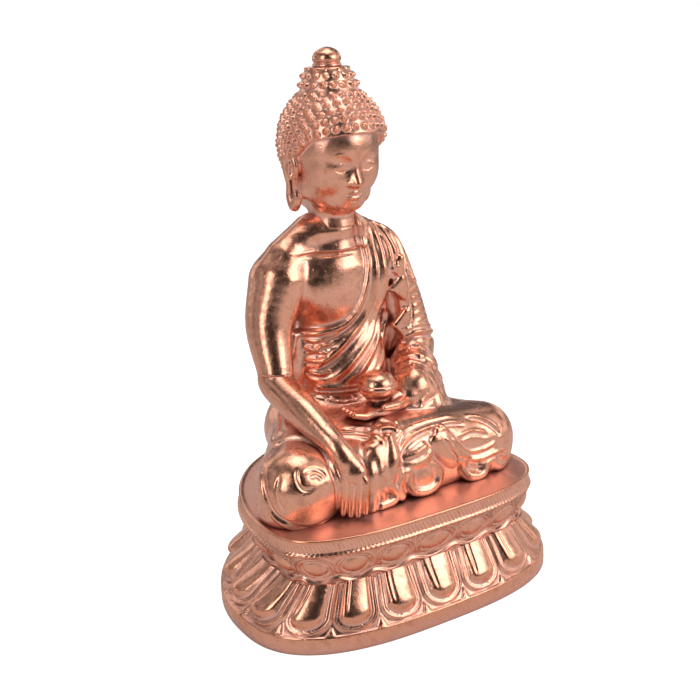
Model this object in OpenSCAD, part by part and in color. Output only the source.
// Seated figure on a double-lotus pedestal, cast in copper in sections.
// Millimetres. The figure faces -Y, its left side is +X, and +Z is up.
// The origin is on the resting plane, under the middle of the pedestal.

/* [Overall] */
// Height from the resting rim to the top of the crown jewel
statue_h = 150; // [140:1:160]

/* [Pedestal] */
// Length of the pedestal across its widest line
base_w = 97.4; // [94:0.1:102]
// Depth of the pedestal from front to back
base_d = 78; // [74:0.5:84]
// How far forward of the middle the widest line lies
wide_line = 9.4; // [8:0.1:11]
// Height of the deck that the figure sits on
deck_z = 30.7; // [29:0.1:32]
// Height of the plain band at the foot
band_h = 5; // [4:0.5:6]
// Wall thickness of the castings
wall = 2.2; // [1.8:0.1:2.6]
// Number of petals in each row
petal_count = 20; // [16:1:24]

/* [Base plate] */
// Thickness of the sheet that closes the underside
plate_t = 0.8; // [0.6:0.1:1.2]
// How far the sheet sits up inside the rim
plate_recess = 0.6; // [0.4:0.1:1]

/* [Figure] */
// Distance from the middle line to each knee centre
knee_x = 30.6; // [29:0.1:31]
// Radius of the draped knees
knee_r = 9.3; // [8.5:0.1:9.6]
// Distance from the middle line to each shoulder centre
shoulder_x = 18.4; // [17.5:0.1:19]
// Height of the shoulder centres above the deck
shoulder_h = 58.8; // [57.5:0.1:60]
// Radius of the head over the hair
hair_r = 14.4; // [13.5:0.1:15]

/* [Fits] */
// Radius of the neck spigot
neck_spigot_r = 4.4; // [4:0.1:5]
// Radius of the spigot on the crown jewel
jewel_spigot_r = 1.6; // [1.2:0.1:1.8]
// Radius of the peg under the alms bowl
bowl_peg_r = 1.6; // [1.3:0.1:1.8]
// Radial clearance of the lift-out bowl peg
run_gap = 0.05; // [0.02:0.01:0.1]
// Radius of the two deck tenons
tenon_r = 3; // [2.5:0.1:3.5]
// Radius of the small locking pins
pin_r = 0.8; // [0.6:0.1:1]
// Gap between castings that lie against each other
fit_gap = 0.15; // [0.1:0.05:0.3]

/* [Hidden] */
$fn = 48;
hull_fn = 32;
fine_fn = 24;
finger_fn = 16;

// Small step by which a cutter passes the face that it cuts
eps = 0.01;
// A reach longer than the figure is wide
far = 130;

// Colours of the copper, bright on the figure and redder in the pedestal
copper = [0.80, 0.50, 0.38];
copper_red = [0.72, 0.42, 0.32];
copper_dark = [0.60, 0.36, 0.28];

// Plan of the pedestal. An inset of 0 is the foot; deck_inset gives the deck's edge.
plan_steps = 96;
deck_inset = 7.1;
waist_inset = 10.6;
front_rate = 0.65;
back_rate = 0.56;
wide_rate = 0.56;
front_n = 2.75;
front_n_rate = 0.055;

// Tiers of the pedestal
band_step = 0.6;
deck_lip = 0.2;
lower_top_z = 17.2;
upper_low_z = 18.6;
border_z = 26.4;
cavity_top = deck_z - wall;
cavity_step = 1;

// Petals: each row is [inset, swell, foot height, top height]
petal_points = 8;
petal_line_inset = 4;
petal_fullness = 0.7;
petal_rows = [
    [4.6, 3.2, band_h, 10.4],
    [7.6, 3.4, 10.4, 14.4],
    [9.4, 2.6, 20.4, 23.4],
    [8.4, 2.6, 23.4, 25.4]
];
arc_steps = 180;

// Burrs that hold the base plate
burr_count = 12;
burr_r = 1.2;
burr_t = 0.4;

// Landmarks are given for a figure of this height above the deck, and follow the chosen height
drawn_h = 119.3;
figure_scale = (statue_h - deck_z) / drawn_h;

// A landmark from its distance to the figure's left, its distance back and its height above the deck
function mark(x, y, h) = [x * figure_scale, y * figure_scale, deck_z + h * figure_scale];

// The same point on the other side for a side of -1
function on_side(p, side) = [side * p[0], p[1], p[2]];

// The point at a distance from p on the way to q
function toward(p, q, run) = p + (q - p) * run / norm(q - p);

// Torso
torso_y = 14.5;
chest = mark(17.4, torso_y, shoulder_h);
chest_r = 7.4;
neck_root = mark(0, torso_y, 67.3);
neck_root_r = 6.6;
waist = mark(6.5, torso_y, 35.3);
waist_r = 9.6;
belly = mark(6, torso_y, 33.3);
belly_r = 9.4;
hip = mark(14, 15, 11.3);
hip_r = 11.4;

// Legs and the fan of cloth in front of them
thigh = mark(12, 12, 10.8);
thigh_r = 10.6;
knee = mark(knee_x, -13.5, 10.1);
shin_r = 7.5;
right_shin = mark(-3, -15, 8.3);
left_shin = mark(3, -15, 9.8);
cloth_marks = [mark(-10, -21, 1.3), mark(22, -21.5, 1.3), mark(-8, -18, 12.3), mark(12, -17, 12.3)];
cloth_radii = [2, 2, 4, 4];

// Arms
shoulder = mark(shoulder_x, torso_y, shoulder_h);
shoulder_r = 8.2;
right_elbow = mark(-24.6, 6, 30.3);
elbow_r = 5.2;
right_wrist = mark(-21.2, -18.8, 19.1);
wrist_r = 3.5;
left_elbow = mark(25, 10.5, 30.3);
sleeve_r = 7.6;
cuff_r = 6.4;
left_wrist = mark(15, -5, 25.3);
left_forearm_r = 5.4;

// Joint faces and spigots of the arms
elbow_face_up = 2;
elbow_spigot_r = 2.3;
elbow_spigot_l = 6;
elbow_pin_l = 9.4;
wrist_spigot_r = 1.7;
wrist_spigot_l = 5;
wrist_pin_l = 8.8;
right_shoulder = on_side(shoulder, -1);
elbow_face = toward(right_elbow, right_shoulder, elbow_face_up);
forearm_face = toward(right_elbow, right_shoulder, elbow_face_up - fit_gap / 2);
elbow_axis_end = toward(elbow_face, right_shoulder, elbow_spigot_l);
wrist_axis_end = toward(left_wrist, left_elbow, wrist_spigot_l);

// Right hand, whose fingers hang to the deck
knuckles = mark(-19.2, -24.2, 11.5);
fingertips = mark(-19.6, -24.6, 1.3);
hand_across = [0.82, -0.57, 0];
hand_r = 3.3;
hand_half = 2;
hand_edge_r = 1.7;
hand_room_r = 4.4;
finger_count = 4;
finger_r = 0.95;
finger_step = 1.75;

// Left hand and the bowl in it
bowl_seat = mark(0, -6.8, 24.5);
bowl_r = 5.7;
bowl_room = 2.6;
bowl_sink = 2.2;
left_hand_r = 2.6;
heel_marks = [mark(5, -4, 21.7), mark(5, -10.5, 21.7)];
heel_r = 2.2;
tip_marks = [mark(-9, -4.5, 21.2), mark(-9, -10, 21.2)];
tip_r = 1.5;
peg_l = 2.3;
peg_hole_l = 2.5;

// Neck, head and crown
neck = mark(0, 13.6, 70.8);
neck_r = 6.2;
neck_l = 12;
neck_spigot_l = 9;
neck_pin_drop = 5;
neck_pin_back = 1.65;
neck_pin_l = 11.3;
core_hole_r = 2.2;
head = mark(0, 12, 93.8);
chin = mark(0, 4.6, 82.8);
chin_r = 6.6;
topknot_low = mark(0, 13, 102.8);
topknot_low_r = 9.6;
topknot_high = mark(0, 13, 110.3);
topknot_high_r = 4.9;
ear_top = mark(13.4, 13, 88.3);
ear_top_r = 1.6;
ear_lobe = mark(13, 13.5, 78.8);
ear_lobe_r = 1.5;
jewel_h = 5.2;
jewel_r = 3.75;
jewel_collar_h = 0.9;
jewel_dome_r = 3.55;
jewel_spigot_l = 5;
jewel_seat = [0, topknot_high[1], statue_h - jewel_h];

// Tenons that hold the figure on the deck
tenon_x = 13;
tenon_y = 10;
tenon_drop = 9;
tenon_root = 2;
tenon_pin_drop = 5;
tenon_pin_l = 12;

// Hollows inside the body casting
chest_core = [mark(5.5, torso_y, 15.3), mark(5.5, torso_y, 55.3)];
chest_core_r = 6.4;
thigh_core = [mark(17, 1, 10.1), mark(29, -12, 10.1)];
thigh_core_r = 6;
seat_core_y = 13;
seat_core_h = 17;
seat_core_r = 9;

function superellipse(t, a, b, n) =
    [a * sign(cos(t)) * pow(abs(cos(t)), 2 / n), b * sign(sin(t)) * pow(abs(sin(t)), 2 / n)];

// One point of the plan: square-shouldered in front of the widest line, elliptical behind it
function plan_point(t, inset) =
    let (
        a = base_w / 2 - inset,
        front = -base_d / 2 + inset * front_rate,
        back = base_d / 2 - inset * back_rate,
        mid = -wide_line - inset * wide_rate,
        n = sin(t) < 0 ? front_n + inset * front_n_rate : 2,
        b = sin(t) < 0 ? mid - front : back - mid,
        p = superellipse(t, a, b, n)
    )
    [p[0], p[1] + mid];

// Distance run round the petal line against the angle, starting at the middle of the front
arc_points = [for (i = [0 : arc_steps]) plan_point(arc_angle(i), petal_line_inset)];
arc_table = [for (i = 0, run = 0; i <= arc_steps; run = run + arc_step(i), i = i + 1) [run, arc_angle(i)]];
arc_total = arc_table[arc_steps][0];
function arc_angle(i) = 360 * i / arc_steps - 90;
function arc_step(i) = i < arc_steps ? norm(arc_points[i + 1] - arc_points[i]) : 0;

// Angle at a share of the way round the petal line, so that petals come out equally wide
function angle_at(share) = lookup(arc_total * share, arc_table);

// Outline of the plan at an inset
module plan(inset) {
    polygon([for (i = [0 : plan_steps - 1]) plan_point(360 * (i + 0.5) / plan_steps, inset)]);
}

// Straight slab of the plan between two heights
module slab(inset, z0, z1) {
    translate([0, 0, z0])
        linear_extrude(height = z1 - z0)
            plan(inset);
}

// Sloping tier between two insets and heights
module tier(inset0, z0, inset1, z1) {
    hull() {
        slab(inset0, z0, z0 + eps);
        slab(inset1, z1 - eps, z1);
    }
}

// Slab whose edge swells out at each petal of the row
module petal_slab(inset, swell, z0, z1) {
    count = petal_count * petal_points;
    translate([0, 0, z0 - eps])
        linear_extrude(height = z1 - z0 + eps)
            polygon([for (i = [0 : count - 1])
                plan_point(angle_at(i / count), inset - swell * petal_wave(i))]);
}

// 1 at the middle of a petal, 0 between two petals
function petal_wave(i) = pow(abs(cos(180 * i / petal_points)), petal_fullness);

module ball(p, r, fn = hull_fn) {
    translate(p)
        sphere(r = r, $fn = fn);
}

// Puts a child that stands on the origin at p, pointing to q
module aimed(p, q) {
    d = q - p;
    translate(p)
        rotate([0, acos(d[2] / norm(d)), atan2(d[1], d[0])])
            children();
}

// Straight round bar from p to q
module rod(p, q, r) {
    aimed(p, q)
        cylinder(r = r, h = norm(q - p));
}

// Round bar from p to q whose radius runs from r0 to r1, with ball ends
module limb(p, q, r0, r1) {
    aimed(p, q)
        cylinder(r1 = r0, r2 = r1, h = norm(q - p));
    ball(p, r0, $fn);
    ball(q, r1, $fn);
}

// Straight pin of a length, centred on p, lying along a direction
module pin(p, direction, length) {
    half = direction * length / 2;
    rod(p - half, p + half, pin_r);
}

module pedestal_outer() {
    slab(0, 0, band_h);
    tier(band_step, band_h - eps, waist_inset, lower_top_z);
    slab(waist_inset, lower_top_z - eps, upper_low_z + eps);
    tier(waist_inset, upper_low_z, deck_inset - band_step, border_z);
    slab(deck_inset - deck_lip, border_z - eps, deck_z);
    for (row = petal_rows)
        petal_slab(row[0], row[1], row[2], row[3]);
}

// Recess for the base plate, and the hollow above it
module pedestal_cavity() {
    plate_top = plate_recess + plate_t;
    slab(wall, -eps, plate_top);
    slab(wall + cavity_step, plate_top - eps, band_h + eps);
    tier(wall + cavity_step + deck_lip, band_h, waist_inset + wall, lower_top_z);
    slab(waist_inset + wall, lower_top_z - eps, cavity_top);
}

module tenon_holes() {
    for (side = [-1, 1])
        translate([side * tenon_x, tenon_y, cavity_top - wall])
            cylinder(r = tenon_r, h = 3 * wall);
}

// Small burrs raised from the rim that grip the edge of the base plate
module plate_burrs() {
    for (i = [0 : burr_count - 1]) {
        spot = plan_point(angle_at((i + 0.5) / burr_count), wall);
        translate([spot[0], spot[1], plate_recess - burr_t])
            cylinder(r = burr_r, h = burr_t, $fn = fine_fn);
    }
}

// Hollow double-lotus casting, open underneath, with two holes for the tenons
module pedestal_casting() {
    color(copper_red)
        union() {
            difference() {
                pedestal_outer();
                pedestal_cavity();
                tenon_holes();
            }
            plate_burrs();
        }
}

// Sheet that closes the hollow, dropped into the recess inside the rim
module base_plate() {
    color(copper_dark)
        slab(wall, plate_recess, plate_recess + plate_t);
}

// Trunk from the shoulders to the seat
module torso() {
    hull() {
        for (side = [-1, 1]) {
            ball(on_side(chest, side), chest_r);
            ball(on_side(waist, side), waist_r);
        }
        ball(neck_root, neck_root_r);
    }
    hull()
        for (side = [-1, 1]) {
            ball(on_side(belly, side), belly_r);
            ball(on_side(hip, side), hip_r);
        }
}

// One folded leg: thigh out to the knee, and shin back to the middle
module leg(side, shin) {
    hull() {
        ball(on_side(thigh, side), thigh_r, fine_fn);
        ball(on_side(knee, side), knee_r);
        ball(shin, shin_r, fine_fn);
    }
}

// Fan of cloth that falls in front of the crossed shins
module front_cloth() {
    hull()
        for (i = [0 : len(cloth_marks) - 1])
            ball(cloth_marks[i], cloth_radii[i], fine_fn);
}

module right_upper_arm() {
    hull() {
        ball(right_shoulder, shoulder_r);
        ball(right_elbow, elbow_r + fit_gap);
    }
}

// Draped left arm, from the shoulder round the elbow to the open cuff
module left_arm() {
    hull() {
        ball(shoulder, shoulder_r, fine_fn);
        ball(left_elbow, sleeve_r, fine_fn);
    }
    rod(left_elbow, left_wrist, left_forearm_r);
    ball(left_elbow, cuff_r);
}

module body_cores() {
    for (side = [-1, 1]) {
        rod(on_side(chest_core[0], side), on_side(chest_core[1], side), chest_core_r);
        rod(on_side(thigh_core[0], side), on_side(thigh_core[1], side), thigh_core_r);
    }
    translate([0, seat_core_y, deck_z - 1])
        cylinder(r = seat_core_r, h = seat_core_h);
}

module body_tenons() {
    for (side = [-1, 1])
        translate([side * tenon_x, tenon_y, deck_z - tenon_drop])
            cylinder(r = tenon_r, h = tenon_drop + tenon_root);
}

// Half space above the deck, where the figure starts
module above_deck() {
    translate([-far / 2, -far / 2, deck_z])
        cube(far);
}

// Room above the seat of the neck, for the head casting
module neck_room() {
    translate(neck)
        cylinder(r = neck_r + wall, h = neck_l);
}

// Everything beyond the joint face just above the right elbow
module elbow_block() {
    rod(elbow_face, toward(right_elbow, right_shoulder, -2 * elbow_r), elbow_r + wall);
}

// Room left in the body casting for the right forearm and hand that lie against it
module forearm_room() {
    limb(right_elbow, right_wrist, elbow_r + fit_gap, wrist_r + fit_gap);
    limb(right_wrist, knuckles, wrist_r + fit_gap, hand_room_r);
    rod(knuckles, toward(fingertips, knuckles, -2 * hand_edge_r), hand_room_r);
    elbow_block();
}

// Room in the lap under and round the alms bowl
module bowl_room_shape() {
    translate(bowl_seat - [0, 0, 2 * bowl_sink])
        cylinder(r = bowl_r + bowl_room, h = 5 * bowl_r);
}

// Torso, crossed legs, right upper arm and draped left arm, in one hollow casting
module body_casting() {
    color(copper)
        difference() {
            union() {
                intersection() {
                    union() {
                        torso();
                        leg(-1, right_shin);
                        leg(1, left_shin);
                        front_cloth();
                        right_upper_arm();
                        left_arm();
                    }
                    above_deck();
                }
                body_tenons();
            }
            body_cores();
            neck_room();
            neck_spigot();
            rod(right_elbow, elbow_axis_end, elbow_spigot_r);
            rod(left_wrist, wrist_axis_end, wrist_spigot_r);
            neck_pin_shape();
            elbow_pin_shape();
            wrist_pin_shape();
            tenon_pin_shapes();
            forearm_room();
            bowl_room_shape();
        }
}

module tenon_pin_shapes() {
    for (side = [-1, 1])
        pin([side * tenon_x, tenon_y, deck_z - tenon_pin_drop], [0, 1, 0], tenon_pin_l);
}

// Two cross pins under the deck that lock the tenons
module tenon_pins() {
    color(copper_dark)
        tenon_pin_shapes();
}

module neck_spigot() {
    translate(neck - [0, 0, neck_spigot_l])
        cylinder(r = neck_spigot_r, h = neck_spigot_l + 2);
}

module neck_pin_shape() {
    pin(neck + [0, neck_pin_back, -neck_pin_drop], [0, 1, 0], neck_pin_l);
}

// Cross pin that locks the neck spigot, driven in from the back
module neck_pin() {
    color(copper_dark)
        neck_pin_shape();
}

module ear(side) {
    hull() {
        ball(on_side(ear_top, side), ear_top_r, fine_fn);
        ball(on_side(ear_lobe, side), ear_lobe_r, fine_fn);
    }
}

// Skull and jaw, topknot, long ears and neck
module head_outer() {
    hull() {
        ball(head, hair_r);
        ball(chin, chin_r);
    }
    hull() {
        ball(topknot_low, topknot_low_r);
        ball(topknot_high, topknot_high_r, fine_fn);
    }
    for (side = [-1, 1])
        ear(side);
    translate(neck)
        cylinder(r = neck_r, h = neck_l);
    neck_spigot();
}

// Head casting, hollow through its neck spigot, with a flat seat for the crown jewel
module head_casting() {
    color(copper)
        difference() {
            head_outer();
            ball(head, hair_r - 2 * wall, $fn);
            rod(neck - [0, 0, neck_spigot_l + 1], head, core_hole_r);
            translate(jewel_seat)
                cylinder(r = jewel_r + wall, h = jewel_h);
            translate(jewel_seat - [0, 0, jewel_spigot_l])
                cylinder(r = jewel_spigot_r, h = jewel_spigot_l + jewel_h);
            neck_pin_shape();
        }
}

// Smooth knob on a collar that closes the top of the topknot
module crown_jewel() {
    color(copper)
        translate(jewel_seat)
            union() {
                translate([0, 0, -jewel_spigot_l])
                    cylinder(r = jewel_spigot_r, h = jewel_spigot_l + eps);
                cylinder(r = jewel_r, h = jewel_collar_h);
                intersection() {
                    translate([0, 0, jewel_h - jewel_dome_r])
                        sphere(r = jewel_dome_r);
                    cylinder(r = jewel_r, h = jewel_h + 1);
                }
            }
}

// Back of the right hand, from the wrist to the knuckles
module hand_slab() {
    hull() {
        ball(right_wrist, hand_r, fine_fn);
        for (side = [-1, 1])
            ball(knuckles + side * hand_half * hand_across, hand_edge_r, fine_fn);
    }
}

function finger_side(i) = (i - (finger_count - 1) / 2) * finger_step * hand_across;

module finger(i) {
    hull() {
        ball(knuckles + finger_side(i), finger_r, finger_fn);
        ball(fingertips + finger_side(i), finger_r, finger_fn);
    }
}

// Forearm from the flat joint face at the elbow to the wrist
module forearm_bar() {
    difference() {
        hull() {
            ball(right_elbow, elbow_r);
            ball(right_wrist, wrist_r);
        }
        rod(forearm_face, toward(forearm_face, right_shoulder, 3 * elbow_r), elbow_r + wall);
    }
}

// Forearm and earth-touching hand, joined to the upper arm at the elbow crease
module right_forearm() {
    color(copper)
        difference() {
            union() {
                forearm_bar();
                hand_slab();
                for (i = [0 : finger_count - 1])
                    finger(i);
                rod(right_elbow, elbow_axis_end, elbow_spigot_r);
            }
            elbow_pin_shape();
        }
}

module elbow_pin_shape() {
    pin(toward(elbow_face, elbow_axis_end, elbow_spigot_l / 2), [1, 0, 0], elbow_pin_l);
}

// Cross pin through the elbow spigot
module elbow_pin() {
    color(copper_dark)
        elbow_pin_shape();
}

// Open left hand, palm up, with a socket for the bowl's peg
module left_hand() {
    wrist_ball = toward(left_wrist, left_elbow, -left_hand_r - fit_gap);
    color(copper)
        difference() {
            union() {
                hull() {
                    ball(wrist_ball, left_hand_r, fine_fn);
                    for (p = heel_marks)
                        ball(p, heel_r, fine_fn);
                }
                hull() {
                    for (p = heel_marks)
                        ball(p, heel_r, fine_fn);
                    for (p = tip_marks)
                        ball(p, tip_r, fine_fn);
                }
                rod(wrist_ball, wrist_axis_end, wrist_spigot_r);
            }
            translate(bowl_seat - [0, 0, peg_hole_l])
                cylinder(r = bowl_peg_r + run_gap, h = peg_hole_l + bowl_r);
            translate(bowl_seat - [0, 0, run_gap])
                cylinder(r = bowl_r, h = bowl_r);
            wrist_pin_shape();
        }
}

module wrist_pin_shape() {
    pin(toward(left_wrist, wrist_axis_end, wrist_spigot_l / 2), [0, 0, 1], wrist_pin_l);
}

// Pin through the sleeve that locks the left hand
module wrist_pin() {
    color(copper_dark)
        wrist_pin_shape();
}

// Round bowl heaped to a smooth dome, on a short peg, which lifts out of the hand
module alms_bowl() {
    foot_r = 3.4;
    foot_h = 1.2;
    rim_z = 4.6;
    pot_centre_z = 3.9;
    heap_r = 5.5;
    heap_top_z = 7.8;
    color(copper)
        translate(bowl_seat)
            union() {
                translate([0, 0, -peg_l])
                    cylinder(r = bowl_peg_r, h = peg_l + eps);
                cylinder(r = foot_r, h = foot_h);
                intersection() {
                    translate([0, 0, pot_centre_z])
                        sphere(r = bowl_r);
                    translate([0, 0, foot_h / 2])
                        cylinder(r = bowl_r + 1, h = rim_z);
                }
                intersection() {
                    translate([0, 0, heap_top_z - heap_r])
                        sphere(r = heap_r);
                    translate([0, 0, rim_z])
                        cylinder(r = bowl_r, h = heap_top_z);
                }
            }
}

pedestal_casting();
base_plate();
body_casting();
tenon_pins();
head_casting();
neck_pin();
crown_jewel();
right_forearm();
elbow_pin();
left_hand();
wrist_pin();
alms_bowl();
